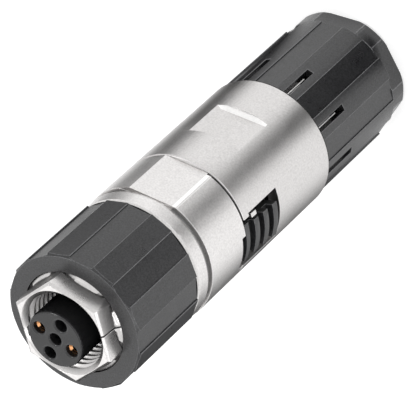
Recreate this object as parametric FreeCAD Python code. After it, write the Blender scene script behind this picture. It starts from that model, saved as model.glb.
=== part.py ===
import FreeCAD, Part
import math
import os

from FreeCAD import Vector

# M12 cable connector, female, reverse keyed, standing on its rear end with the socket end up.
# Stations run back from the face of the insert, bearings run from the front wrench flat (-Y)
# towards the latch on the left (-X). All sizes are in millimetres.

# Fits
running_gap = 0.10
seat_gap = 0.04
end_gap = 0.12

# Lengths along the axis, from the socket end to the rear end
insert_reach = 1.60
hex_reach = 2.67
grip_length = 14.00
ring_length = 2.80
ring_groove_length = 0.55
seam = 0.42
sleeve_length = 21.18
skirt_length = 18.35
collar_length = 3.30

# Radii that the outside is built on
body_radius = 10.0
ring_inset = 0.08
grip_proud = 0.10
nut_inset = 0.25

# Coupling nut and its grip
hex_flats = 13.4
hex_draft = 0.28
shank_radius = 7.45
hex_sink = 0.22
hex_chamfer = 0.28
shoulder_rise = 0.60
shoulder_lap = 0.15
thread_radius = 6.05
mouth_chamfer = 0.15
grip_skirt = 1.70
nut_flange_length = 2.50
seam_line_bearing = 74.4
seam_line_width = 0.20
seam_line_depth = 0.30
hex_bearing = 14.5
grip_step = 0.22
grip_facets = 18
grip_bearing = 17.0
grip_edge = 0.15

# Front housing
neck_radius = 5.85
mating_depth = 8.00
ring_nose = 0.45
ring_groove_depth = 0.65
housing_flats = 18.0
neck_lip_length = 0.70
spigot_wall = 0.95
chamber_depth = 10.65
chamber_wall = 1.20
spigot_length = 6.30
rim_notch_start = 81.5
rim_notch_end = 112.0
rim_notch_depth = 0.85
spigot_slot_half = 24.0
lug_width = 4.0
lug_gap = 1.30
lug_setback = 2.36
lug_length = 1.20
lug_inset = 0.20

# Retaining ring and seals
retainer_width = 0.90
retainer_bite = 0.50
retainer_reach = 0.65
retainer_setback = 1.05
retainer_opening = 40.0
seal_thickness = 1.00
seal_bead = 0.25
carrier_seal_section = 1.10
carrier_seal_depth = 0.72

# Insert and contacts
insert_radius = 4.12
insert_step = 0.50
insert_edge = 0.18
insert_flange_length = 1.80
pin_circle = 2.60
first_pin_bearing = 20.0
hole_radius = 0.87
hole_mouth = 0.10
hole_length = 1.65
cavity_radius = 0.95
key_bearing = 258.0
key_setback = 0.75
key_width = 1.40
key_height = 0.73
key_root = 0.50
contact_setback = 1.05
contact_bore = 0.52
contact_bore_depth = 6.0
contact_slit = 0.22
contact_slit_depth = 5.0
fork_width = 1.70
fork_thickness = 0.60
fork_slot = 0.36
fork_reach = 4.00

# Terminal block and wire carrier
block_length = 4.60
carrier_length = 15.0
wire_bore = 1.80
wire_channel_width = 1.70
wire_channel_depth = 2.20
fork_pocket_depth = 4.60
latch_room = 1.80
latch_pocket_length = 8.30
carrier_collar_length = 0.92
carrier_collar_half = 17.0
carrier_collar_inset = 0.05
carrier_collar_root = 1.00

# Release latches
latch_half = 15.0
latch_sink = 1.65
latch_thickness = 0.90
latch_root = 0.55
latch_web_overlap = 0.20
latch_web_inset = 0.30
fin_count = 3
fin_pitch = 2.10
fin_width = 1.00
fin_start = 0.65
fin_proud_front = 0.02
fin_proud_rear = 0.40

# Rear sleeve
sleeve_wall = 1.70
sleeve_flats = 17.9
sleeve_flat_start = 6.75
sleeve_flat_length = 7.20
window_start = 67.0
window_end = 113.0
window_length = 8.15
window_tab = 2.5
window_tab_length = 1.25
sleeve_edge = 0.12
gland_step = 1.80
gland_wall = 1.20
gland_lip_height = 1.60
gland_lip_length = 1.30
shield_shoulder = 14.85
gland_thread_length = 5.55
gland_thread_chamfer = 0.45

# Shield pieces and cable clamp
shield_ring_length = 1.80
shield_ring_wall = 3.56
spring_sheet = 0.25
spring_flat = 1.75
spring_drop = 1.15
spring_tip_room = 0.05
spring_fingers = 8
spring_slit = 0.70
cage_wall = 0.90
cage_finger_start = 11.0
cage_finger_length = 5.00
cage_finger_taper = 0.60
cage_mouth_room = 0.55
cage_front_wall = 1.00
cage_slit = 0.80
cage_fingers = 8
seal_wall = 1.81
thrust_length = 1.30
thrust_lip = 0.86
thrust_bore_room = 0.75

# Rear nut
panel_depth = 0.35
nut_strips = 9
strip_half = 10.0
strip_bearing = 17.5
nut_slot_width = 0.95
nut_slot_length = 6.65
collar_flats = 18.0
collar_inset = 0.13
collar_bearing = -1.5
collar_chamfer = 0.35
nut_thread_depth = 6.90
nut_cavity_room = 0.60
nut_cavity_length = 5.45
nut_ledge = 0.60
cone_length = 6.0
cable_room = 0.45
cable_mouth = 0.60

# Cutting tools run past the faces that they open
overrun = 1.0

# Radii worked out from walls and fits
ring_radius = body_radius - ring_inset
grip_radius = body_radius + grip_proud
nut_radius = body_radius - nut_inset
panel_flat = nut_radius - panel_depth
collar_radius = nut_radius - collar_inset
nut_flange_radius = grip_radius - grip_skirt
insert_shank_radius = insert_radius + insert_step
carrier_groove_radius = insert_shank_radius + seat_gap - carrier_seal_depth
contact_radius = cavity_radius - seat_gap
contact_nose_radius = hole_radius - seat_gap
sleeve_bore = body_radius - sleeve_wall
spigot_radius = sleeve_bore - seat_gap
chamber_radius = spigot_radius - spigot_wall
latch_inner = body_radius - latch_sink
latch_pocket_x = latch_inner - latch_room
carrier_collar_radius = body_radius - carrier_collar_inset
fin_top_front = body_radius + fin_proud_front
fin_top_rear = body_radius + fin_proud_rear
gland_thread_radius = body_radius - gland_step
gland_bore = gland_thread_radius - gland_wall
gland_lip = gland_bore - gland_lip_height
cage_radius = gland_bore - running_gap
cage_bore = cage_radius - cage_wall
seal_radius = cage_bore - seat_gap
seal_bore = seal_radius - seal_wall
cage_front_bore = seal_bore + cage_mouth_room
thrust_bore = seal_bore + thrust_bore_room
cable_radius = seal_bore + cable_room
shield_ring_radius = sleeve_bore - seat_gap
shield_ring_bore = shield_ring_radius - shield_ring_wall
spring_tip = shield_ring_bore + spring_tip_room
nut_cavity_radius = cage_radius + nut_cavity_room
thrust_radius = nut_cavity_radius - seat_gap

# Stations worked out from the lengths
body_length = chamber_wall + chamber_depth - ring_length - ring_groove_length
nut_front = insert_reach
grip_front = nut_front + hex_reach
grip_rear = grip_front + grip_length
ring_front = grip_rear + end_gap
groove_front = ring_front + ring_length
body_front = groove_front + ring_groove_length
rim = body_front + body_length
sleeve_front = rim + seam
sleeve_rear = sleeve_front + sleeve_length
skirt_front = sleeve_rear + end_gap
collar_front = skirt_front + skirt_length
overall_length = collar_front + collar_length

neck_front = nut_front + mating_depth
retainer_front = neck_front + retainer_setback
retainer_rear = retainer_front + retainer_width
chamber_floor = ring_front + chamber_wall
flange_rear = chamber_floor + seat_gap + insert_flange_length
block_front = flange_rear + seat_gap
block_rear = block_front + block_length
carrier_front = block_rear + seat_gap
carrier_rear = carrier_front + carrier_length
collar_seat = rim + end_gap
collar_back = collar_seat + carrier_collar_length
latch_front = collar_back + seat_gap
fork_rear = block_rear + fork_reach
shoulder = sleeve_front + shield_shoulder
gland_front = shoulder + gland_lip_length
cage_front = gland_front + end_gap
finger_front = cage_front + cage_finger_start
finger_rear = finger_front + cage_finger_length
thrust_front = finger_rear + end_gap
thrust_rear = thrust_front + thrust_length
ledge = thrust_rear + seat_gap
cavity_front = ledge - nut_cavity_length


def height(station):
    return overall_length - station


def spot(bearing, radius, station):
    turn = math.radians(bearing)
    return Vector(-radius * math.sin(turn), -radius * math.cos(turn), height(station))


def ring_of(profile, start=0.0, sweep=360.0):
    """Revolves (station, radius) corners about the axis, over a span of bearings."""
    corners = [spot(start, radius, station) for station, radius in profile]
    face = Part.Face(Part.makePolygon(corners + corners[:1]))
    return face.revolve(Vector(0, 0, 0), Vector(0, 0, -1), sweep)


def tube(front, rear, inner, outer, start=0.0, sweep=360.0):
    if inner > 0:
        return ring_of([(front, inner), (rear, inner), (rear, outer), (front, outer)], start, sweep)
    return Part.makeCylinder(outer, rear - front, Vector(0, 0, height(rear)))


def turned(shape, bearing):
    """Turns a shape made at bearing zero to its own bearing."""
    copy = shape.copy()
    copy.rotate(Vector(0, 0, 0), Vector(0, 0, 1), -bearing)
    return copy


def block_at(front, rear, near, far, width, bearing=0.0):
    """A bar across the bearing: from radius near to radius far, width from side to side."""
    bar = Part.makeBox(width, far - near, rear - front, Vector(-width / 2, -far, height(rear)))
    return turned(bar, bearing)


def prism(corners, front, rear):
    points = [Vector(x, y, height(rear)) for x, y in corners]
    face = Part.Face(Part.makePolygon(points + points[:1]))
    return face.extrude(Vector(0, 0, rear - front))


def hexagon(flats, front, rear, flat_bearing, draft=0.0):
    """A six-sided bar, smaller across the flats by twice the draft at its front end."""
    wires = []
    for station, half in ((rear, flats / 2), (front, flats / 2 - draft)):
        corner = half / math.cos(math.radians(30))
        points = [spot(flat_bearing + 30 + 60 * index, corner, station) for index in range(6)]
        wires.append(Part.makePolygon(points + points[:1]))
    return Part.makeLoft(wires, True, True)


def wrench_cuts(flats, front, rear, reach):
    """Two bars that leave parallel flats facing the front and the back."""
    far = reach + overrun
    return [block_at(front, rear, flats / 2, far, 2 * reach, bearing) for bearing in (0, 180)]


def coupling_nut():
    shank_front = grip_front + hex_sink
    flange_front = grip_rear - end_gap - nut_flange_length
    nut_rear = grip_rear - end_gap
    hexed = hexagon(hex_flats, nut_front, shank_front, hex_bearing, hex_draft)
    rim_edges = [edge for edge in hexed.Edges if edge.BoundBox.ZMin > height(nut_front) - seat_gap]
    nut = hexed.makeChamfer(hex_chamfer, rim_edges).common(tube(nut_front, shank_front, 0, shank_radius))
    nut = nut.fuse(ring_of([
        (shank_front - shoulder_rise, 0), (shank_front - shoulder_rise, hex_flats / 2 - shoulder_lap),
        (shank_front, shank_radius), (flange_front, shank_radius), (flange_front, 0),
    ]))
    nut = nut.fuse(tube(flange_front, nut_rear, 0, nut_flange_radius)).removeSplitter()
    groove_radius = neck_radius + retainer_reach + running_gap
    bore = ring_of([
        (nut_front - overrun, 0), (nut_front - overrun, thread_radius + mouth_chamfer + overrun),
        (nut_front + mouth_chamfer, thread_radius),
        (retainer_front - 2 * running_gap, thread_radius),
        (retainer_front - 2 * running_gap, groove_radius),
        (retainer_rear + 2 * running_gap, groove_radius),
        (retainer_rear + 2 * running_gap, neck_radius + running_gap),
        (nut_rear + overrun, neck_radius + running_gap), (nut_rear + overrun, 0),
    ])
    nut = nut.cut(bore)
    for bearing in (seam_line_bearing, seam_line_bearing + 180):
        near = hex_flats / 2 - seam_line_depth
        side = block_at(nut_front - overrun, shank_front, near, hex_flats, seam_line_width, bearing)
        face = block_at(nut_front - overrun, nut_front + seam_line_depth, 0, hex_flats,
                        seam_line_width, bearing)
        nut = nut.cut(side).cut(face)
    return nut


def grip_ring():
    """Eighteen flats, every second one standing proud by a small step."""
    pitch = 360.0 / grip_facets
    corners = []
    for index in range(grip_facets):
        radius = grip_radius - grip_step * (index % 2)
        for bearing in (grip_bearing + pitch * index, grip_bearing + pitch * (index + 1)):
            turn = math.radians(bearing)
            corners.append((-radius * math.sin(turn), -radius * math.cos(turn)))
    grip = prism(corners, grip_front, grip_rear)
    edge = ring_of([
        (grip_front, 0), (grip_front, grip_radius - grip_step - grip_edge),
        (grip_front + grip_step + grip_edge, grip_radius), (grip_rear, grip_radius), (grip_rear, 0),
    ])
    seat = grip_rear - end_gap - nut_flange_length - seat_gap
    bore = tube(grip_front - overrun, grip_rear + overrun, 0, shank_radius + seat_gap)
    recess = tube(seat, grip_rear + overrun, 0, nut_flange_radius + seat_gap)
    return grip.common(edge).cut(bore).cut(recess)


def retaining_ring():
    inner = neck_radius - retainer_bite + seat_gap
    outer = neck_radius + retainer_reach
    start = 180 + retainer_opening / 2
    return tube(retainer_front + seat_gap, retainer_rear - seat_gap, inner, outer,
                start, 360 - retainer_opening)


def coupling_seal():
    rear = neck_front - seat_gap
    inner = insert_radius + seat_gap
    outer = neck_radius - running_gap
    front = rear - seal_thickness
    return ring_of([
        (front + seal_bead, inner), (front, inner + seal_bead),
        (front, outer - seal_bead), (front + seal_bead, outer),
        (rear, outer), (rear, inner),
    ])


def front_housing():
    groove_radius = ring_radius - ring_groove_depth
    housing = ring_of([
        (neck_front, 0), (neck_front, neck_radius), (retainer_front, neck_radius),
        (retainer_front, neck_radius - retainer_bite), (retainer_rear, neck_radius - retainer_bite),
        (retainer_rear, neck_radius), (ring_front, neck_radius),
        (ring_front, ring_radius - ring_nose), (ring_front + ring_nose, ring_radius - ring_nose / 4),
        (groove_front - ring_nose, ring_radius), (groove_front, ring_radius - ring_nose / 2),
        (groove_front, groove_radius), (body_front, groove_radius),
        (body_front, body_radius), (rim, body_radius),
        (rim, spigot_radius), (rim + spigot_length, spigot_radius), (rim + spigot_length, 0),
    ])
    lip_rear = neck_front + neck_lip_length
    hollow = ring_of([
        (neck_front - overrun, 0), (neck_front - overrun, insert_radius + running_gap),
        (lip_rear, insert_radius + running_gap), (lip_rear, insert_shank_radius + seat_gap),
        (chamber_floor, insert_shank_radius + seat_gap), (chamber_floor, chamber_radius),
        (rim + spigot_length + overrun, chamber_radius), (rim + spigot_length + overrun, 0),
    ])
    housing = housing.cut(hollow)
    for cut in wrench_cuts(housing_flats, groove_front, rim, body_radius):
        housing = housing.cut(cut)
    for side in (90, 270):
        slot = tube(rim, rim + spigot_length + overrun, chamber_radius - overrun,
                    spigot_radius + overrun, side - spigot_slot_half, 2 * spigot_slot_half)
        notch = tube(rim - rim_notch_depth, rim + overrun, spigot_radius, body_radius + overrun,
                     side - 90 + rim_notch_start, rim_notch_end - rim_notch_start)
        housing = housing.cut(slot).cut(notch)
        lug_end = side - latch_half - lug_gap
        root = side - spigot_slot_half - lug_width
        lug_front = rim + lug_setback
        lug_root = tube(lug_front, lug_front + lug_length, chamber_radius, spigot_radius,
                        root, lug_end - root)
        lug = tube(lug_front, lug_front + lug_length, chamber_radius, body_radius - lug_inset,
                   lug_end - lug_width, lug_width)
        housing = housing.fuse(lug_root).fuse(lug)
    return housing.removeSplitter()


def pin_places():
    places = [spot(first_pin_bearing + 90 * index, pin_circle, 0) for index in range(4)]
    return places + [Vector(0, 0, height(0))]


def contact_carrier():
    lip_rear = neck_front + neck_lip_length + seat_gap
    seal_front = (lip_rear + chamber_floor) / 2 - carrier_seal_section
    seal_rear = seal_front + carrier_seal_section + 2 * seat_gap
    body = ring_of([
        (0, 0), (0, insert_radius - insert_edge), (insert_edge, insert_radius),
        (lip_rear, insert_radius), (lip_rear, insert_shank_radius),
        (seal_front, insert_shank_radius), (seal_front, carrier_groove_radius),
        (seal_rear, carrier_groove_radius), (seal_rear, insert_shank_radius),
        (chamber_floor + seat_gap, insert_shank_radius),
        (chamber_floor + seat_gap, chamber_radius - seat_gap),
        (flange_rear, chamber_radius - seat_gap), (flange_rear, 0),
    ])
    key_rear = neck_front - seal_thickness - 2 * seat_gap
    key = block_at(key_setback, key_rear, insert_radius - key_root, insert_radius + key_height,
                   key_width, key_bearing)
    body = body.fuse(key).removeSplitter()
    for place in pin_places():
        mouth = Part.makeCone(hole_radius, hole_radius + hole_mouth, hole_mouth,
                              place - Vector(0, 0, hole_mouth))
        depth = flange_rear + overrun
        hole = Part.makeCylinder(hole_radius, depth, place - Vector(0, 0, depth))
        cavity = Part.makeCylinder(cavity_radius, depth - hole_length, place - Vector(0, 0, depth))
        body = body.cut(mouth).cut(hole).cut(cavity)
    return body


def carrier_seal():
    lip_rear = neck_front + neck_lip_length + seat_gap
    front = (lip_rear + chamber_floor) / 2 - carrier_seal_section + seat_gap
    outer = insert_shank_radius + seat_gap / 2
    return tube(front, front + carrier_seal_section, carrier_groove_radius + seat_gap, outer)


def socket_contact(index):
    """Turned socket with two tines in front and a cutting fork behind."""
    bearing = first_pin_bearing + 90 * index
    foot = spot(bearing, pin_circle, flange_rear)
    length = flange_rear - contact_setback
    bore_rear = contact_setback + contact_bore_depth
    nose = Part.makeCylinder(contact_nose_radius, length, foot)
    body = Part.makeCylinder(contact_radius, flange_rear - hole_length - seat_gap, foot).fuse(nose)
    bore = Part.makeCylinder(contact_bore, contact_bore_depth + overrun,
                             spot(bearing, pin_circle, bore_rear))
    slit = block_at(contact_setback - overrun, contact_setback + contact_slit_depth,
                    pin_circle - contact_radius - overrun, pin_circle + contact_radius + overrun,
                    contact_slit, bearing)
    inner = pin_circle - fork_thickness / 2
    outer = pin_circle + fork_thickness / 2
    blade = block_at(flange_rear, fork_rear, inner, outer, fork_width, bearing)
    jaw = block_at(block_rear + fork_slot, fork_rear + overrun, inner - overrun, outer + overrun,
                   fork_slot, bearing)
    root = block_at(flange_rear - overrun, flange_rear, inner, outer, 2 * contact_bore, bearing)
    return body.cut(bore).cut(slit).fuse(root).fuse(blade.cut(jaw)).removeSplitter()


def terminal_block():
    block = tube(block_front, block_rear, 0, chamber_radius - seat_gap)
    for index in range(4):
        near = pin_circle - fork_thickness / 2 - seat_gap
        far = pin_circle + fork_thickness / 2 + seat_gap
        slot = block_at(block_front - overrun, block_rear + overrun, near, far,
                        fork_width + 2 * seat_gap, first_pin_bearing + 90 * index)
        block = block.cut(slot)
    return block.cut(tube(block_front - overrun, block_rear + overrun, 0, contact_radius))


def wire_carrier():
    radius = chamber_radius - seat_gap
    carrier = tube(carrier_front, carrier_rear, 0, radius)
    for side in (90, 270):
        pocket = block_at(collar_back, collar_back + latch_pocket_length, latch_pocket_x,
                          chamber_radius + overrun, 2 * chamber_radius, side)
        collar = tube(collar_seat, collar_back, radius - carrier_collar_root, carrier_collar_radius,
                      side - carrier_collar_half, 2 * carrier_collar_half)
        carrier = carrier.cut(pocket).fuse(collar)
    bore = tube(carrier_front - overrun, carrier_rear + overrun, 0, wire_bore)
    carrier = carrier.removeSplitter().cut(bore)
    for index in range(4):
        bearing = first_pin_bearing + 90 * index
        channel = block_at(carrier_front - overrun, carrier_front + wire_channel_depth, 0,
                           radius + overrun, wire_channel_width, bearing)
        near = pin_circle - fork_thickness / 2 - running_gap
        far = pin_circle + fork_thickness / 2 + running_gap
        pocket = block_at(carrier_front - overrun, carrier_front + fork_pocket_depth, near, far,
                          fork_width + 2 * running_gap, bearing)
        carrier = carrier.cut(channel).cut(pocket)
    return carrier


def release_latch(side):
    """Spring arm with ribs across it, rooted at the carrier's collar and free at the rear."""
    plate_top = latch_inner + latch_thickness
    root_rear = latch_front + latch_root
    latch_rear = root_rear + fin_start + (fin_count - 1) * fin_pitch + fin_width
    rise = (fin_top_rear - fin_top_front) / (latch_rear - root_rear)
    profile = [(root_rear, latch_inner), (root_rear, plate_top)]
    for index in range(fin_count):
        front = root_rear + fin_start + index * fin_pitch
        for station in (front, front + fin_width):
            top = (station, fin_top_front + rise * (station - root_rear))
            profile += [(station, plate_top), top] if station == front else [top, (station, plate_top)]
    profile.pop()
    profile.append((latch_rear, latch_inner))
    arm = ring_of(profile, side - latch_half, 2 * latch_half)
    half = plate_top * math.sin(math.radians(latch_half))
    knuckle = Part.makeCylinder(latch_thickness / 2, 2 * half, Vector(-half, 0, 0), Vector(1, 0, 0))
    centre = latch_front + latch_thickness / 2
    knuckle.translate(Vector(0, -(latch_inner + latch_thickness / 2), height(centre)))
    web = block_at(centre, root_rear + latch_web_overlap, latch_inner,
                   plate_top - latch_web_inset / 3, 2 * (half - latch_web_inset), side)
    return arm.fuse(turned(knuckle, side)).fuse(web).removeSplitter()


def rear_sleeve():
    gland_end = sleeve_rear + gland_thread_length
    sleeve = ring_of([
        (sleeve_front, sleeve_bore), (sleeve_front, body_radius - sleeve_edge),
        (sleeve_front + sleeve_edge, body_radius), (sleeve_rear - sleeve_edge, body_radius),
        (sleeve_rear, body_radius - sleeve_edge), (sleeve_rear, gland_thread_radius),
        (gland_end - gland_thread_chamfer, gland_thread_radius),
        (gland_end, gland_thread_radius - gland_thread_chamfer), (gland_end, gland_bore),
        (gland_front, gland_bore), (gland_front, gland_lip), (shoulder, gland_lip),
        (shoulder, sleeve_bore),
    ])
    flat_front = sleeve_front + sleeve_flat_start
    for cut in wrench_cuts(sleeve_flats, flat_front, flat_front + sleeve_flat_length, body_radius):
        sleeve = sleeve.cut(cut)
    for side in (0, 180):
        rear = sleeve_front + window_length
        window = tube(sleeve_front + window_tab_length, rear, chamber_radius, body_radius + overrun,
                      window_start + side, window_end - window_start)
        mouth = tube(sleeve_front - overrun, sleeve_front + window_tab_length, chamber_radius,
                     body_radius + overrun, window_start + window_tab + side,
                     window_end - window_start - window_tab)
        sleeve = sleeve.cut(window).cut(mouth)
    return sleeve


def shield_ring():
    rear = shoulder - seat_gap
    return tube(rear - shield_ring_length, rear, shield_ring_bore, shield_ring_radius)


def shield_spring():
    rear = shoulder - shield_ring_length - 2 * seat_gap
    outer = shield_ring_radius
    inner = outer - spring_flat
    spring = ring_of([
        (rear, outer), (rear - spring_sheet, outer), (rear - spring_sheet, inner),
        (rear - spring_sheet - spring_drop, spring_tip), (rear - spring_drop, spring_tip),
        (rear, inner),
    ])
    for index in range(spring_fingers):
        bearing = 360.0 / spring_fingers * index
        slit = block_at(rear - spring_sheet - spring_drop - overrun, rear + overrun,
                        spring_tip - overrun, inner, spring_slit, bearing)
        spring = spring.cut(slit)
    return spring


def clamp_cage():
    cage = ring_of([
        (cage_front, cage_front_bore), (cage_front, cage_radius), (finger_front, cage_radius),
        (finger_rear, cage_radius - cage_finger_taper), (finger_rear, cage_bore - cage_finger_taper),
        (finger_front, cage_bore), (cage_front + cage_front_wall, cage_bore),
        (cage_front + cage_front_wall, cage_front_bore),
    ])
    for index in range(cage_fingers):
        bearing = 360.0 / cage_fingers * (index + 0.5)
        slit = block_at(finger_front, finger_rear + overrun, cage_front_bore - overrun,
                        cage_radius + overrun, cage_slit, bearing)
        cage = cage.cut(slit)
    return cage


def cable_seal():
    front = cage_front + cage_front_wall + seat_gap
    return tube(front, finger_front - seat_gap, seal_bore, seal_radius)


def thrust_ring():
    return ring_of([
        (thrust_front, thrust_radius - thrust_lip), (thrust_front, thrust_radius),
        (thrust_rear, thrust_radius), (thrust_rear, thrust_bore),
    ])


def nut_outline():
    """Strips on the full radius, with flat panels let in between them."""
    pitch = 360.0 / nut_strips
    panel_corner = panel_flat / math.cos(math.radians(pitch / 2 - strip_half))
    edges = []
    for index in range(nut_strips):
        middle = strip_bearing + pitch * index
        first = spot(middle - strip_half, nut_radius, collar_front)
        crown = spot(middle, nut_radius, collar_front)
        last = spot(middle + strip_half, nut_radius, collar_front)
        step = spot(middle + strip_half, panel_corner, collar_front)
        far = spot(middle + pitch - strip_half, panel_corner, collar_front)
        rise = spot(middle + pitch - strip_half, nut_radius, collar_front)
        edges.append(Part.Arc(first, crown, last).toShape())
        for start, end in ((last, step), (step, far), (far, rise)):
            edges.append(Part.LineSegment(start, end).toShape())
    return Part.Face(Part.Wire(edges))


def rear_nut():
    skirt = nut_outline().extrude(Vector(0, 0, collar_front - skirt_front))
    blank = ring_of([
        (collar_front, 0), (collar_front, collar_radius),
        (overall_length - collar_chamfer, collar_radius),
        (overall_length, collar_radius - collar_chamfer), (overall_length, 0),
    ])
    collar = hexagon(collar_flats, collar_front, overall_length, collar_bearing).common(blank)
    nut = skirt.fuse(collar)
    thread = gland_thread_radius + running_gap
    thread_rear = skirt_front + nut_thread_depth
    inside = ring_of([
        (skirt_front - overrun, 0), (skirt_front - overrun, thread), (thread_rear, thread),
        (max(thread_rear, cavity_front), nut_cavity_radius), (ledge, nut_cavity_radius),
        (ledge, nut_cavity_radius - nut_ledge), (ledge + cone_length, cable_radius),
        (overall_length - cable_mouth, cable_radius),
        (overall_length + overrun, cable_radius + cable_mouth + overrun),
        (overall_length + overrun, 0),
    ])
    nut = nut.cut(inside)
    for index in range(nut_strips):
        bearing = strip_bearing + 360.0 / nut_strips * index
        slot = block_at(skirt_front - overrun, skirt_front + nut_slot_length, thread - overrun,
                        nut_radius + overrun, nut_slot_width, bearing)
        nut = nut.cut(slot)
    return nut


parts = {
    "coupling_nut": coupling_nut(),
    "grip_ring": grip_ring(),
    "retaining_ring": retaining_ring(),
    "coupling_seal": coupling_seal(),
    "front_housing": front_housing(),
    "contact_carrier": contact_carrier(),
    "carrier_seal": carrier_seal(),
    "socket_contact_2": socket_contact(1),
    "socket_contact_4": socket_contact(3),
    "terminal_block": terminal_block(),
    "wire_carrier": wire_carrier(),
    "release_latch_left": release_latch(90),
    "release_latch_right": release_latch(270),
    "rear_sleeve": rear_sleeve(),
    "shield_spring": shield_spring(),
    "shield_ring": shield_ring(),
    "clamp_cage": clamp_cage(),
    "cable_seal": cable_seal(),
    "thrust_ring": thrust_ring(),
    "rear_nut": rear_nut(),
}

os.makedirs("parts", exist_ok=True)
for name, shape in parts.items():
    shape.exportStep("parts/" + name + ".step")
    print(name, len(shape.Solids), shape.isValid(), round(shape.Volume, 1))
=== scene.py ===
import math

import bmesh
import bpy
from mathutils import Matrix, Vector


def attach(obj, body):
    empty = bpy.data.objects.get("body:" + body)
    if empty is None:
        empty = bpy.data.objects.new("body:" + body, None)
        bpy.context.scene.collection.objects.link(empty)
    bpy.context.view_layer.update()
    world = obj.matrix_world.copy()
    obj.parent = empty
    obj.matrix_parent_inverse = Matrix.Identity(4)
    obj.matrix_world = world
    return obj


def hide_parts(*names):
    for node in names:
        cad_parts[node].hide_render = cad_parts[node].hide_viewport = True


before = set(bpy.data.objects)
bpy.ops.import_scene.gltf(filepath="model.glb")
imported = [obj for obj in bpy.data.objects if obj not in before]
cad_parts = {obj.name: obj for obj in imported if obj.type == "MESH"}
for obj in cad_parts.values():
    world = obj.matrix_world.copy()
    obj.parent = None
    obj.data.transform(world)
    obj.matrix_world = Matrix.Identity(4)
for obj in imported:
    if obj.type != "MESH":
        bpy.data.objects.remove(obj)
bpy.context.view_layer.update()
print("frame loaded:", len(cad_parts), "nodes")

# Sizes are in millimetres here and become metres where a mesh is made. Stations run back from
# the socket face, bearings run in degrees from the front wrench flat towards the left latch.
mm = 0.001
overallLength = 73.61
bodyRadius = 10.0
scene = bpy.context.scene


def height(station):
    return (overallLength - station) * mm


def around(bearing, radius, station=overallLength):
    turn = math.radians(bearing)
    return Vector((-radius * mm * math.sin(turn), -radius * mm * math.cos(turn), height(station)))


def bearingFrom(start, point):
    # Degrees from a bearing round to a point, between -180 and 180
    return (math.degrees(math.atan2(-point.x, -point.y)) - start + 180) % 360 - 180


def spin(bm, geom, angle, steps, drop=0.0, merge=False):
    # Sweeps towards higher bearings, and down by the drop at every step
    bmesh.ops.spin(bm, geom=geom, cent=(0, 0, 0), axis=(0, 0, -1), dvec=(0, 0, -drop * mm),
                   angle=math.radians(angle), steps=steps, use_merge=merge)


def loop(bm, points):
    corners = [bm.verts.new(point) for point in points]
    return corners, [bm.edges.new((corners[i - 1], corners[i])) for i in range(len(corners))]


def prism(points, shift):
    bm = bmesh.new()
    face = bm.faces.new([bm.verts.new(point) for point in points])
    grown = bmesh.ops.extrude_face_region(bm, geom=[face])["geom"]
    ends = [item for item in grown if isinstance(item, bmesh.types.BMVert)]
    bmesh.ops.translate(bm, vec=shift, verts=ends)
    return bm


def addObject(bm, name):
    mesh = bpy.data.meshes.new(name)
    bm.to_mesh(mesh)
    bm.free()
    piece = bpy.data.objects.new(name, mesh)
    scene.collection.objects.link(piece)
    return piece


def finishMesh(bm, name, smoothAngle=30):
    bmesh.ops.recalc_face_normals(bm, faces=bm.faces)
    piece = addObject(bm, name)
    piece.data.shade_smooth()
    piece.data.set_sharp_from_angle(angle=math.radians(smoothAngle))
    return piece


def dress(piece, finish, body):
    # Clearing the materials also resets the faces' material index, so that one is set later
    piece.data.materials.clear()
    piece.data.materials.append(finish)
    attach(piece, body)
    return piece


# Materials

def linear(code):
    channels = [int(code[i:i + 2], 16) / 255 for i in (1, 3, 5)]
    return [c / 12.92 if c <= 0.04045 else ((c + 0.055) / 1.055) ** 2.4 for c in channels] + [1.0]


def addNode(tree, kind, settings=None, links=None):
    node = tree.nodes.new(kind)
    for name, value in (settings or {}).items():
        if name in node.inputs:
            node.inputs[name].default_value = value
        else:
            setattr(node, name, value)
    for name, source in (links or {}).items():
        tree.links.new(source, node.inputs[name])
    return node


def newMaterial(name):
    material = bpy.data.materials.new(name)
    material.use_nodes = True
    material.node_tree.nodes.clear()
    return material, material.node_tree


def speckle(tree, place, size, detail):
    # One cell of the noise is about one unit over its scale, so real sizes go in directly
    return addNode(tree, "ShaderNodeTexNoise", {"Scale": 1 / (size * mm), "Detail": detail},
                   {"Vector": place}).outputs["Fac"]


# The part of the noise's range that carries the change of tone and of roughness
noiseSpan = (0.3, 0.7)


def grainedFinish(name, finish):
    material, tree = newMaterial(name)
    place = addNode(tree, "ShaderNodeTexCoord").outputs["Object"]
    grain = speckle(tree, place, finish["grain"], 3.0)
    cloud = speckle(tree, place, finish["cloud"], 2.0)
    tone = addNode(tree, "ShaderNodeValToRGB", links={"Fac": grain})
    for stop, position, shade in zip(tone.color_ramp.elements, noiseSpan, ("shade", "bright")):
        stop.position = position
        stop.color = linear(finish[shade])
    rough = addNode(tree, "ShaderNodeMapRange", {
        "From Min": noiseSpan[0], "From Max": noiseSpan[1],
        "To Min": finish["roughness"][0], "To Max": finish["roughness"][1]}, {"Value": cloud})
    bump = addNode(tree, "ShaderNodeBump", {
        "Strength": finish["bump"], "Distance": finish["depth"] * mm}, {"Height": grain})
    body = addNode(tree, "ShaderNodeBsdfPrincipled", finish["shader"], {
        "Base Color": tone.outputs["Color"], "Roughness": rough.outputs["Result"],
        "Normal": bump.outputs["Normal"]})
    addNode(tree, "ShaderNodeOutputMaterial", links={"Surface": body.outputs["BSDF"]})
    return material


# Die-cast shells, blasted and nickel plated. The grit marks are under 0.1 mm and would vanish,
# so the grain is drawn at 0.25 mm
castingFinish = {
    "shader": {"Metallic": 1.0}, "shade": "#cbc9c8", "bright": "#dfdddc", "grain": 0.25,
    "cloud": 4.0, "roughness": (0.30, 0.36), "bump": 0.32, "depth": 0.02}
blastedNickel = grainedFinish("blastedNickelDieCast", castingFinish)
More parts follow.
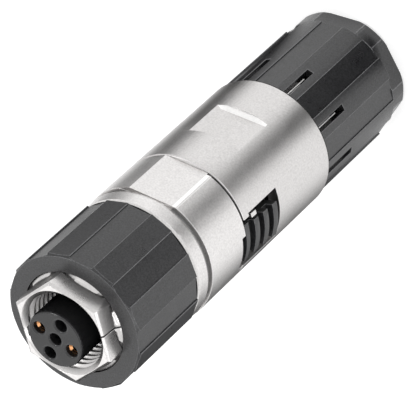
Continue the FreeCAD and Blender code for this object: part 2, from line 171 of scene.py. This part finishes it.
# The rear sleeve: the same nickel painted a shade darker, painted shade for the shadowed floor it
# reflects
shadedSleeveNickel = grainedFinish("shadedNickelSleeve", dict(
    castingFinish, shade="#c1bfbe", bright="#d4d2d1"))
# The coupling nut: nickel-plated brass, turned and only slightly satin
satinNickel = grainedFinish("satinNickelBrass", {
    "shader": {"Metallic": 1.0}, "shade": "#cbc9c8", "bright": "#d7d5d4", "grain": 0.35,
    "cloud": 3.0, "roughness": (0.26, 0.32), "bump": 0.03, "depth": 0.01})
# Its thread and countersink: the same plated brass painted paler than the flats, a painted
# highlight, and a little rougher
litThreadNickel = grainedFinish("litThreadNickelBrass", {
    "shader": {"Metallic": 1.0}, "shade": "#dfdddc", "bright": "#ebe9e8", "grain": 0.20,
    "cloud": 2.0, "roughness": (0.30, 0.36), "bump": 0.05, "depth": 0.01})
# Paler nickel, a painted highlight: on the milled strip and run-outs of the flats, the up-facing
# walls of the sleeve's flats and the rods in the rear nut's slots
paleHighlightNickel = grainedFinish("paleHighlightNickel", {
    "shader": {"Metallic": 1.0}, "shade": "#f0efee", "bright": "#f8f7f6", "grain": 0.30,
    "cloud": 2.0, "roughness": (0.40, 0.48), "bump": 0.05, "depth": 0.01})
# A flat grey ring laid in the groove behind the ring: painted shade for the gap there
grooveShadeGrey = grainedFinish("grooveShadeGrey", {
    "shader": {"IOR": 1.45}, "shade": "#717171", "bright": "#7f7f7f", "grain": 0.25,
    "cloud": 2.0, "roughness": (0.60, 0.70), "bump": 0.10, "depth": 0.01})
# Spring steel strip of the retaining ring and the shield spring
springSteel = grainedFinish("springSteel", {
    "shader": {"Metallic": 1.0}, "shade": "#a9a9ab", "bright": "#c4c4c6", "grain": 0.30,
    "cloud": 3.0, "roughness": (0.22, 0.30), "bump": 0.10, "depth": 0.01})
# Gold flash over copper alloy, seen as orange glints in the sockets
goldPlate = grainedFinish("goldPlatedContact", {
    "shader": {"Metallic": 1.0}, "shade": "#e3a06c", "bright": "#f6bd8a", "grain": 0.30,
    "cloud": 2.0, "roughness": (0.30, 0.38), "bump": 0.05, "depth": 0.01})
# Glass-filled nylon moulded in an eroded tool: dull black with a fine even grain
blackNylon = grainedFinish("grainedBlackNylon", {
    "shader": {"IOR": 1.56}, "shade": "#0c0c0d", "bright": "#303032", "grain": 0.22,
    "cloud": 3.0, "roughness": (0.27, 0.33), "bump": 0.40, "depth": 0.02})
# Painted shade in the latches' grooves: the nylon there is made near black and dead flat
grooveShadeNylon = grainedFinish("grooveShadeBlackNylon", {
    "shader": {"IOR": 1.53}, "shade": "#040404", "bright": "#0a0a0a", "grain": 0.22,
    "cloud": 3.0, "roughness": (0.75, 0.85), "bump": 0.20, "depth": 0.02})
# The nylon's broken corners are painted paler and glossier, a painted highlight along the edges
edgeHighlightNylon = grainedFinish("edgeHighlightBlackNylon", {
    "shader": {"IOR": 1.53}, "shade": "#4e4e50", "bright": "#6c6c6e", "grain": 0.22,
    "cloud": 3.0, "roughness": (0.22, 0.28), "bump": 0.10, "depth": 0.01})
# The insert is the same nylon with a smoother skin
insertNylon = grainedFinish("smoothBlackInsert", {
    "shader": {"IOR": 1.53}, "shade": "#0e0e0f", "bright": "#222223", "grain": 0.20,
    "cloud": 2.0, "roughness": (0.34, 0.42), "bump": 0.20, "depth": 0.012})
# Its broken edges and the flared mouths of the holes are paler and glossier, a painted highlight
# on the rims
rimHighlightInsert = grainedFinish("rimHighlightBlackInsert", {
    "shader": {"IOR": 1.53}, "shade": "#1c1c1d", "bright": "#2c2c2e", "grain": 0.20,
    "cloud": 2.0, "roughness": (0.16, 0.22), "bump": 0.05, "depth": 0.01})
# Black nitrile rubber of the seals
nitrileRubber = grainedFinish("nitrileRubber", {
    "shader": {"IOR": 1.52}, "shade": "#0c0c0c", "bright": "#141414", "grain": 0.30,
    "cloud": 2.0, "roughness": (0.60, 0.75), "bump": 0.20, "depth": 0.015})

nodeFinish = {
    "coupling_nut": satinNickel, "grip_ring": blackNylon, "retaining_ring": springSteel,
    "coupling_seal": nitrileRubber, "front_housing": blastedNickel,
    "contact_carrier": insertNylon, "carrier_seal": nitrileRubber,
    "socket_contact_2": goldPlate, "socket_contact_4": goldPlate,
    "terminal_block": insertNylon, "wire_carrier": blackNylon,
    "release_latch_left": blackNylon, "release_latch_right": blackNylon,
    "rear_sleeve": shadedSleeveNickel, "shield_spring": springSteel, "shield_ring": satinNickel,
    "clamp_cage": blackNylon, "cable_seal": nitrileRubber, "thrust_ring": blackNylon,
    "rear_nut": blackNylon}
for nodeName, finish in nodeFinish.items():
    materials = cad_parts[nodeName].data.materials
    materials.clear()
    materials.append(finish)
print("materials made:", len(bpy.data.materials))

# Edges: the CAD solids are knife sharp, so the pieces in view are copied and their outer
# corners broken a little. Inner corners stay sharp and dark, as they are on moulded parts

# The holes for the pins flare at the face, which catches the light as the pin finds its way
holeMouths = {"circle": 2.60, "first": 20.0, "within": 3.75, "radius": 1.06, "front": 0.01,
              "rear": 0.09, "tolerance": 0.001}
milledWalls = {"stations": (30.66, 44.61), "tolerance": 0.02}
latchGrooves = {"radius": 9.45}


def flareMouths(bm, size):
    centres = [around(size["first"] + 90 * turn, size["circle"]) for turn in range(4)]
    centres.append(Vector((0, 0, 0)))
    for vertex in bm.verts:
        flat = Vector((vertex.co.x, vertex.co.y, 0))
        if vertex.co.z > height(size["tolerance"]) and flat.length < size["within"] * mm:
            centre = min(centres, key=lambda spot: (flat - spot).length)
            wanted = centre + (flat - centre).normalized() * size["radius"] * mm
            vertex.co.x, vertex.co.y = wanted.x, wanted.y


# Faces that take another finish than the rest of their piece

# Faces of the flared hole mouths, which take the paler painted highlight
def inMouth(face):
    return (height(holeMouths["rear"]) < face.center.z < height(holeMouths["front"])
            and face.center.to_2d().length < holeMouths["within"] * mm)


# Up-facing walls of the sleeve's flats, which take the painted highlight
def onMilledWall(face):
    return face.normal.z > 0.9 and any(
        abs(face.center.z - height(station)) < milledWalls["tolerance"] * mm
        for station in milledWalls["stations"])


# Faces deep in the latches' grooves, which take the painted shade
def inGroove(face):
    return face.center.to_2d().length < latchGrooves["radius"] * mm


# Every piece: its node, the width of its broken edges and the smallest angle, in degrees, of an
# edge that is broken
# The edges finish goes on the broken edges; on the nylon and the insert it is a paler painted
# highlight
edgeBreaks = {
    "couplingNut": {"node": "coupling_nut", "body": "coupling", "slot": "nickel_brass",
                    "width": 0.05, "angle": 25, "edges": satinNickel},
    # The grip's front chamfer is too small for full edges: they are narrower down to 4.8 mm
    "couplingGrip": {"node": "grip_ring", "body": "coupling", "slot": "black_plastic",
                     "width": 0.10, "angle": 14, "edges": edgeHighlightNylon,
                     "narrowDownTo": 4.8, "narrowShare": 0.3},
    "frontHousing": {"node": "front_housing", "body": "main_body", "slot": "nickel_die_cast",
                     "width": 0.06, "angle": 20, "edges": blastedNickel},
    "rearSleeve": {"node": "rear_sleeve", "body": "main_body", "slot": "nickel_die_cast",
                   "width": 0.04, "angle": 20, "edges": shadedSleeveNickel,
                   "special": paleHighlightNickel, "isSpecial": onMilledWall},
    "glandNut": {"node": "rear_nut", "body": "gland_nut", "slot": "black_plastic",
                 "width": 0.08, "angle": 16, "edges": edgeHighlightNylon},
    "socketInsert": {"node": "contact_carrier", "body": "main_body", "slot": "insert_plastic",
                     "width": 0.09, "angle": 25, "edges": rimHighlightInsert,
                     "special": rimHighlightInsert, "isSpecial": inMouth},
    "socketContact2": {"node": "socket_contact_2", "body": "main_body", "slot": "gold_contact",
                       "width": 0.10, "angle": 60, "edges": goldPlate},
    "socketContact4": {"node": "socket_contact_4", "body": "main_body", "slot": "gold_contact",
                       "width": 0.10, "angle": 60, "edges": goldPlate},
    "latchLeft": {"node": "release_latch_left", "body": "latch_left", "slot": "black_plastic",
                  "width": 0.04, "angle": 25, "edges": edgeHighlightNylon,
                  "special": grooveShadeNylon, "isSpecial": inGroove},
    "latchRight": {"node": "release_latch_right", "body": "latch_right", "slot": "black_plastic",
                   "width": 0.04, "angle": 25, "edges": edgeHighlightNylon,
                   "special": grooveShadeNylon, "isSpecial": inGroove},
}
weldDistance = 0.0002
levelAngle = 0.6


def brokenEdges(name, size):
    bm = bmesh.new()
    bm.from_mesh(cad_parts[size["node"]].data)
    bmesh.ops.remove_doubles(bm, verts=bm.verts, dist=weldDistance * mm)
    bmesh.ops.dissolve_limit(bm, angle_limit=math.radians(levelAngle), verts=bm.verts,
                             edges=bm.edges, use_dissolve_boundaries=False)
    if name == "socketInsert":
        flareMouths(bm, holeMouths)
    bmesh.ops.recalc_face_normals(bm, faces=bm.faces)
    weight = bm.edges.layers.float.new("bevel_weight_edge")
    narrowHeight = height(size.get("narrowDownTo", 0))
    for edge in bm.edges:
        if edge.is_convex and edge.calc_face_angle(0) > math.radians(size["angle"]):
            narrow = all(vertex.co.z > narrowHeight for vertex in edge.verts)
            edge[weight] = size.get("narrowShare", 1.0) if narrow else 1.0
    piece = finishMesh(bm, name, size["angle"])
    bevel = piece.modifiers.new("edges", "BEVEL")
    bevel.width = size["width"] * mm
    bevel.segments = 2
    bevel.profile = 0.5
    bevel.limit_method = "WEIGHT"
    bevel.use_clamp_overlap = False
    bevel.material = 1
    level = piece.modifiers.new("levelNormals", "WEIGHTED_NORMAL")
    level.keep_sharp = True
    level.weight = 100
    return piece


for name, size in edgeBreaks.items():
    nodeName = size["node"]
    piece = dress(brokenEdges(name, size), nodeFinish[nodeName], size["body"])
    piece.data.materials.append(size["edges"])
    if "special" in size:
        piece.data.materials.append(size["special"])
        for face in piece.data.polygons:
            face.material_index = 2 if size["isSpecial"](face) else 0
    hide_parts(nodeName)
print("edges broken:", len(edgeBreaks))

# The M12x1 thread in the coupling nut and the bright countersink that leads down to its crest

couplingThread = {"front": 2.55, "turns": 7, "pitch": 1.0, "wall": 6.08, "crest": 5.52,
                  "land": 0.12, "foot": 0.46, "runOut": 0.4, "steps": 60}
couplingLeadIn = {"steps": 96, "profile": (
    (1.68, 6.11), (2.20, 5.60), (2.28, 5.60), (2.70, 6.08), (1.80, 6.08))}


def threadPiece(name, size):
    # The profile is swept down the helix and both ends fade into the wall
    bm = bmesh.new()
    middle = height(size["front"])
    profile = bm.faces.new([
        bm.verts.new((radius * mm, 0, middle + rise * size["pitch"] * mm))
        for radius, rise in ((size["wall"], -size["foot"]), (size["crest"], -size["land"]),
                             (size["crest"], size["land"]), (size["wall"], size["foot"]))])
    spin(bm, [profile], 360 * size["turns"], size["steps"] * size["turns"],
         drop=size["pitch"] / size["steps"])
    for vertex in bm.verts:
        along = (middle - vertex.co.z) / (size["pitch"] * mm)
        depth = min(1.0, along / size["runOut"], (size["turns"] - along) / size["runOut"])
        radius = vertex.co.to_2d().length
        wanted = size["wall"] * mm - (size["wall"] * mm - radius) * max(0.0, depth)
        vertex.co.x *= wanted / radius
        vertex.co.y *= wanted / radius
    return finishMesh(bm, name)


def leadInRing(name, size):
    bm = bmesh.new()
    corners, edges = loop(bm, [around(0, radius, station) for station, radius in size["profile"]])
    spin(bm, corners + edges, 360, size["steps"], merge=True)
    return finishMesh(bm, name)


leadIn = leadInRing("couplingLeadIn", couplingLeadIn)
dress(leadIn, litThreadNickel, "coupling")
thread = threadPiece("couplingThread", couplingThread)
dress(thread, litThreadNickel, "coupling")
print("thread cut:", len(thread.data.polygons), "faces")

# Thin lines of painted shade: near-black strips in the nut's parting grooves, near-black rings in
# the seam between housing and sleeve and at both black rings, and a grey ring in the groove

# Near-black strips standing for the shade in the nut's parting grooves
nutPartingShade = {"bearings": (74.4, 254.4), "width": 0.19, "profile": (
    (1.66, 6.15), (1.66, 6.18), (1.93, 6.43), (3.95, 6.62), (4.46, 7.36), (4.49, 7.36),
    (4.49, 6.41), (1.89, 6.41), (1.89, 6.07), (1.75, 6.07))}
# An arc is given by its first bearing and its sweep
seamShades = {
    "sleeveSeamShade": {"finish": nitrileRubber, "slot": "seal_rubber", "front": 30.31,
                     "rear": 30.59, "inner": 8.30, "outer": 9.78,
                     "arcs": ((27, 39), (114, 49), (207, 39), (294, 49))},
    "gripSeamShade": {"finish": nitrileRubber, "slot": "seal_rubber", "front": 18.28, "rear": 18.38,
                 "inner": 9.20, "outer": 9.80, "arcs": ((0, 360),)},
    "nutSeamShade": {"finish": nitrileRubber, "slot": "seal_rubber", "front": 51.85, "rear": 51.95,
                "inner": 8.90, "outer": 9.92, "arcs": ((0, 360),)},
    "grooveShadeRing": {"finish": grooveShadeGrey, "slot": "nickel_die_cast", "front": 21.20,
                   "rear": 21.73, "inner": 9.10, "outer": 9.42, "arcs": ((24, 132), (204, 132))},
}
degreesPerStep = 2.5


def partingShadeStrip(name, bearing, size):
    bm = prism([(-size["width"] / 2 * mm, -radius * mm, height(station))
                for station, radius in size["profile"]], (size["width"] * mm, 0, 0))
    bmesh.ops.rotate(bm, cent=(0, 0, 0), verts=bm.verts,
                     matrix=Matrix.Rotation(-math.radians(bearing), 3, "Z"))
    return finishMesh(bm, name)


def shadeArc(name, size, start, sweep):
    bm = bmesh.new()
    corners, edges = loop(bm, [around(start, size[side], size[end]) for side, end in (
        ("inner", "front"), ("outer", "front"), ("outer", "rear"), ("inner", "rear"))])
    whole = sweep == 360
    section = corners + edges + ([] if whole else [bm.faces.new(corners)])
    spin(bm, section, sweep, round(sweep / degreesPerStep), merge=whole)
    return finishMesh(bm, name)


for index, bearing in enumerate(nutPartingShade["bearings"]):
    strip = partingShadeStrip("partingShadeStrip%d" % (index + 1), bearing, nutPartingShade)
    dress(strip, nitrileRubber, "coupling")
for name, size in seamShades.items():
    for index, (start, sweep) in enumerate(size["arcs"]):
        arc = shadeArc("%s%d" % (name, index + 1), size, start, sweep)
        dress(arc, size["finish"], "main_body")
print("parting strips and gaskets laid")

# The castings' wrench flats are not quite square to the latches: a thin wedge on each CAD flat
# turns it a few degrees about its right edge, which is milled off a little; on the housing that
# strip, and on the sleeve the run-out, is painted paler as a highlight

wedges = {
    # The half is half the width over the CAD flats. Behind the housing's flat a filler closes the
    # seam, and at the rear of the sleeve's the cutter's run-out slopes up to a higher plane
    "housingFlat": {"finish": blastedNickel, "strip": paleHighlightNickel, "front": 21.76,
                    "rear": 30.24, "half": 9.00, "turn": 5.0, "fillerRear": 30.61},
    "sleeveFlat": {"finish": shadedSleeveNickel, "strip": shadedSleeveNickel, "front": 37.42,
                   "rear": 44.60, "half": 8.95, "turn": 3.5, "runOutFront": 44.05,
                   "runOutRadius": 9.72},
}
# The strip's points are degrees back from the right edge and a radius, or none for the new flat.
# Its faces are found within half an angle of its bearing. The run-out's points beyond the radius
# called lifted are on the outside and move
wedgeShape = {"radius": 10.006, "lap": 3.0, "root": 9.80, "rootBack": 1.0, "sink": 0.03,
              "steps": 6, "inner": 9.00, "innerBack": 3.0,
              "strip": ((3.0, None), (0.4, 9.976), (-1.2, 10.006)),
              "stripBearing": 26.0, "stripHalf": 3.6, "rampShares": (0.0, 0.1, 0.2, 0.8, 0.9, 1.0),
              "lifted": 9.10, "tolerance": 0.01, "smoothAngle": 12}


def slab(name, outline, front, rear):
    bm = prism([around(bearing, radius, front) for bearing, radius in outline],
               (0, 0, (front - rear) * mm))
    return finishMesh(bm, name, wedgeShape["smoothAngle"])


def flatOutlines(side, wedge, size):
    # The new flat runs between two bearings on the cylinder; the wedge laps over its left end
    turn = wedge["turn"]
    right = math.degrees(math.acos(wedge["half"] / bodyRadius))
    left = 2 * turn - right
    plane = bodyRadius * math.cos(math.radians(right - turn))
    strip = [(side + right - back, radius or plane / math.cos(math.radians(right - back - turn)))
             for back, radius in size["strip"]]
    lap = [(side + left - (left + right + size["lap"]) * step / size["steps"], size["radius"])
           for step in range(size["steps"] + 1)]
    under = [(side - right - size["lap"], size["root"]),
             (side - right + size["rootBack"], size["root"]),
             (side, wedge["half"] - size["sink"])]
    filler = [strip[0], lap[0], (side + left, size["inner"]),
              (side + right - size["innerBack"], size["inner"])]
    ramp = [(side + right - (right - left) * share, plane / math.cos(
        math.radians(right - turn) * (1 - 2 * share))) for share in size["rampShares"]]
    return strip[::-1] + lap + under, filler, ramp + filler[2:]


def millRamp(piece, middle, rear, radius, size):
    # The rear end is lifted to the plane where the cutter left the metal
    for vertex in piece.data.vertices:
        away = vertex.co.to_2d().length
        atRear = vertex.co.z < height(rear - size["tolerance"])
        if atRear and away > size["lifted"] * mm:
            bearing = math.radians(bearingFrom(middle, vertex.co))
            wanted = min(bodyRadius, radius / math.cos(bearing)) * mm
            vertex.co.x *= wanted / away
            vertex.co.y *= wanted / away


def onStrip(face, side, size):
    away = bearingFrom(side + size["stripBearing"], face.center)
    return abs(away) < size["stripHalf"] and abs(face.normal.z) < 0.1


for name, size in wedges.items():
    for index, side in enumerate((0.0, 180.0), 1):
        outline, filler, ramp = flatOutlines(side, size, wedgeShape)
        wedge = slab("%s%d" % (name, index), outline, size["front"], size["rear"])
        dress(wedge, size["finish"], "main_body")
        wedge.data.materials.append(size["strip"])
        for face in wedge.data.polygons:
            face.material_index = 1 if onStrip(face, side, wedgeShape) else 0
        if "fillerRear" in size:
            end = slab("%sEnd%d" % (name, index), filler, size["rear"], size["fillerRear"])
            dress(end, size["finish"], "main_body")
        if "runOutFront" in size:
            slope = slab("%sRunOut%d" % (name, index), ramp, size["runOutFront"], size["rear"])
            millRamp(slope, side + size["turn"], size["rear"], size["runOutRadius"], wedgeShape)
            dress(slope, paleHighlightNickel, "main_body")
print("flats turned")

# Bright metal seen in the openings: a pale rod in each slot of the rear nut, a painted highlight
# for the inner metal lit through the slot, and the flared lips of the two contacts

slotGlints = {"slots": 9, "first": 17.5, "radius": 9.02, "thick": 0.13, "front": 52.00,
          "rear": 57.30, "tolerance": 0.01, "smoothAngle": 60}
contactLip = {"bearings": (110.0, 290.0), "circle": 2.60, "starts": (45.0, 225.0), "sweep": 55.0,
              "profile": ((0.80, 0.855), (1.04, 0.53), (1.045, 0.855)), "steps": 10}


def glintRodPiece(name, bearing, size):
    # A ball drawn out to a pin with round ends
    bm = bmesh.new()
    bmesh.ops.create_uvsphere(bm, u_segments=12, v_segments=8, radius=size["thick"] * mm)
    stretch = (size["rear"] - size["front"] - 2 * size["thick"]) * mm
    upper = [vertex for vertex in bm.verts if vertex.co.z > size["tolerance"] * mm]
    bmesh.ops.translate(bm, vec=(0, 0, stretch), verts=upper)
    place = around(bearing, size["radius"], size["rear"] - size["thick"])
    bmesh.ops.translate(bm, vec=place, verts=bm.verts)
    return finishMesh(bm, name, size["smoothAngle"])


def lipPiece(name, bearing, size):
    # Two tines with a slit between them
    bm = bmesh.new()
    for start in size["starts"]:
        points = [around(start, radius, station) for station, radius in size["profile"]]
        face = bm.faces.new([bm.verts.new(point) for point in points])
        spin(bm, [face], size["sweep"], size["steps"])
    bmesh.ops.translate(bm, vec=around(bearing, size["circle"]), verts=bm.verts)
    return finishMesh(bm, name)


for index in range(slotGlints["slots"]):
    bearing = slotGlints["first"] + 360 / slotGlints["slots"] * index
    pin = glintRodPiece("slotGlintRod%d" % (index + 1), bearing, slotGlints)
    dress(pin, paleHighlightNickel, "gland_nut")
for index, bearing in enumerate(contactLip["bearings"]):
    lip = lipPiece("contactLip%d" % (index + 1), bearing, contactLip)
    dress(lip, goldPlate, "main_body")
print("tongues and lips placed")

# Stage: a white table lit a little from below, as glass tables for small goods are

tableRadius = 1200
bm = bmesh.new()
bmesh.ops.create_circle(bm, cap_ends=True, segments=64, radius=tableRadius * mm)
studioFloor = finishMesh(bm, "studioFloor")
paper, tree = newMaterial("whiteTable")
sheet = addNode(tree, "ShaderNodeBsdfPrincipled", {
    "Base Color": linear("#d2d2d2"), "Roughness": 0.9, "IOR": 1.4,
    "Emission Color": linear("#ffffff"), "Emission Strength": 0.55})
addNode(tree, "ShaderNodeOutputMaterial", links={"Surface": sheet.outputs["BSDF"]})
studioFloor.data.materials.append(paper)

# Flags: dark cards that only the gloss sees, as a photographer hangs them round metal. These lie
# on the table between two radii. Each is darkest at its bearing and fades out to both sides, and
# has one strength for its near half and one for its far half
floorFlags = {
    "flagFront": {"bearing": 41.5, "half": 16.0, "near": 10.8, "far": 110.0,
                  "strength": (1.25, 0.3)},
    "flagGrip": {"bearing": 37.0, "half": 28.0, "near": 66.0, "far": 98.0,
                 "strength": (1.0, 1.0)},
    "flagSide": {"bearing": -73.0, "half": 24.0, "near": 10.8, "far": 110.0,
                 "strength": (1.15, 0.6)},
    "flagBack": {"bearing": 184.0, "half": 42.0, "near": 10.8, "far": 150.0,
                 "strength": (1.0, 0.95)},
}
# An upright card behind holds the edges of the round pieces dark against the white
uprightCard = {"bearing": 198.0, "half": 34.0, "away": 150.0, "tall": 95.0}
# A collar round the insert, dark from inside only, so that its side keeps the deep black of the
# real one and the nut's wall behind still sees through
insertCollar = {"radius": 4.28, "front": -0.05, "rear": 6.0, "start": -58.0, "sweep": 190.0,
                "steps": 48}
cardSteps = 24
floorGap = Vector((0, 0, 0.4 * mm))


def hangFlag(piece, amount=None):
    # The amount makes the node output that says how dark the card is; without it, it is all dark
    material, tree = newMaterial(piece.name)
    clear = addNode(tree, "ShaderNodeBsdfTransparent").outputs["BSDF"]
    dark = addNode(tree, "ShaderNodeBsdfDiffuse", {"Color": linear("#0c0c0c")}).outputs["BSDF"]
    mix = addNode(tree, "ShaderNodeMixShader", {"Fac": 1.0},
                  {"Fac": amount(tree)} if amount else None)
    tree.links.new(clear, mix.inputs[1])
    tree.links.new(dark, mix.inputs[2])
    addNode(tree, "ShaderNodeOutputMaterial", links={"Surface": mix.outputs["Shader"]})
    piece.data.materials.append(material)
    piece.visible_camera = False
    piece.visible_diffuse = False
    piece.visible_shadow = False


def cardMesh(first, second, sweep, steps):
    bm = bmesh.new()
    edge = bm.edges.new([bm.verts.new(first), bm.verts.new(second)])
    spin(bm, [edge], sweep, steps)
    return bm


def floorFlag(name, card):
    reach = card["half"] * 1.5
    near, far = (around(card["bearing"] - reach, card[key]) + floorGap for key in ("near", "far"))
    piece = finishMesh(cardMesh(near, far, 2 * reach, cardSteps), name)
    shade = piece.data.attributes.new("shade", "FLOAT", "POINT")
    for index, vertex in enumerate(piece.data.vertices):
        away = min(abs(bearingFrom(card["bearing"], vertex.co)) / reach, 1)
        outer = vertex.co.to_2d().length > (card["near"] + card["far"]) / 2 * mm
        fade = max(0.0, math.cos(away * math.pi / 2)) ** 1.2
        shade.data[index].value = card["strength"][outer] * fade
    hangFlag(piece, lambda tree: addNode(
        tree, "ShaderNodeAttribute", {"attribute_name": "shade"}).outputs["Fac"])


def uprightFlag(name, card):
    foot = around(card["bearing"] - card["half"], card["away"])
    top = foot + Vector((0, 0, card["tall"] * mm))
    hangFlag(finishMesh(cardMesh(foot, top, 2 * card["half"], cardSteps), name))


def collarFlag(name, size):
    front, rear = (around(size["start"], size["radius"], size[key]) for key in ("front", "rear"))
    bm = cardMesh(front, rear, size["sweep"], size["steps"])
    for face in bm.faces:
        if face.normal.to_2d().dot(face.calc_center_median().to_2d()) < 0:
            face.normal_flip()
    hangFlag(addObject(bm, name), lambda tree: addNode(
        tree, "ShaderNodeNewGeometry").outputs["Backfacing"])


for name, card in floorFlags.items():
    floorFlag(name, card)
uprightFlag("flagUpright", uprightCard)
collarFlag("flagInsert", insertCollar)

world = bpy.data.worlds.new("studioWorld")
world.use_nodes = True
world.node_tree.nodes["Background"].inputs["Color"].default_value = linear("#ffffff")
world.node_tree.nodes["Background"].inputs["Strength"].default_value = 1.0
scene.world = world
scene.view_settings.view_transform = "Standard"

# Lamps, in metres: a wide one behind for the sheen of the level faces, two small ones for glints
softboxes = {
    "softboxBack": {"bearing": 217.0, "rise": 43.0, "away": 0.75, "size": 0.40, "glow": 0.6},
    "softboxLeft": {"bearing": -65.0, "rise": 60.0, "away": 0.70, "size": 0.11, "glow": 11.0},
    "softboxRight": {"bearing": 97.0, "rise": 45.0, "away": 0.70, "size": 0.16, "glow": 5.0},
}
lampTarget = Vector((0, 0, 0.04))
for name, box in softboxes.items():
    rise = math.radians(box["rise"])
    level = around(box["bearing"], box["away"] * math.cos(rise) / mm)
    place = lampTarget + level + Vector((0, 0, box["away"] * math.sin(rise)))
    light = bpy.data.lights.new(name, "AREA")
    light.shape = "SQUARE"
    light.size = box["size"]
    light.energy = box["glow"] * math.pi * box["size"] ** 2
    lamp = bpy.data.objects.new(name, light)
    lamp.location = place
    lamp.rotation_euler = (lampTarget - place).to_track_quat("-Z", "Y").to_euler()
    scene.collection.objects.link(lamp)

# Camera: a long lens from above the front left, fitted to the photograph

cameraPlace = Vector((-0.19847, -0.26245, 0.35752))
cameraRight = Vector((-0.8505, 0.0, -0.5259))
cameraUp = Vector((0.2998, -0.8205, -0.4863))
cameraBack = Vector((-0.4321, -0.5717, 0.6978))
cameraData = bpy.data.cameras.new("studioCamera")
cameraData.lens = 297.06
cameraData.sensor_width = 36.0
cameraData.clip_start = 0.01
cameraData.clip_end = 10.0
camera = bpy.data.objects.new("studioCamera", cameraData)
turn = Matrix((cameraRight, cameraUp, cameraBack)).transposed()
camera.matrix_world = Matrix.Translation(cameraPlace) @ turn.to_4x4()
scene.collection.objects.link(camera)
scene.camera = camera
print("stage set")
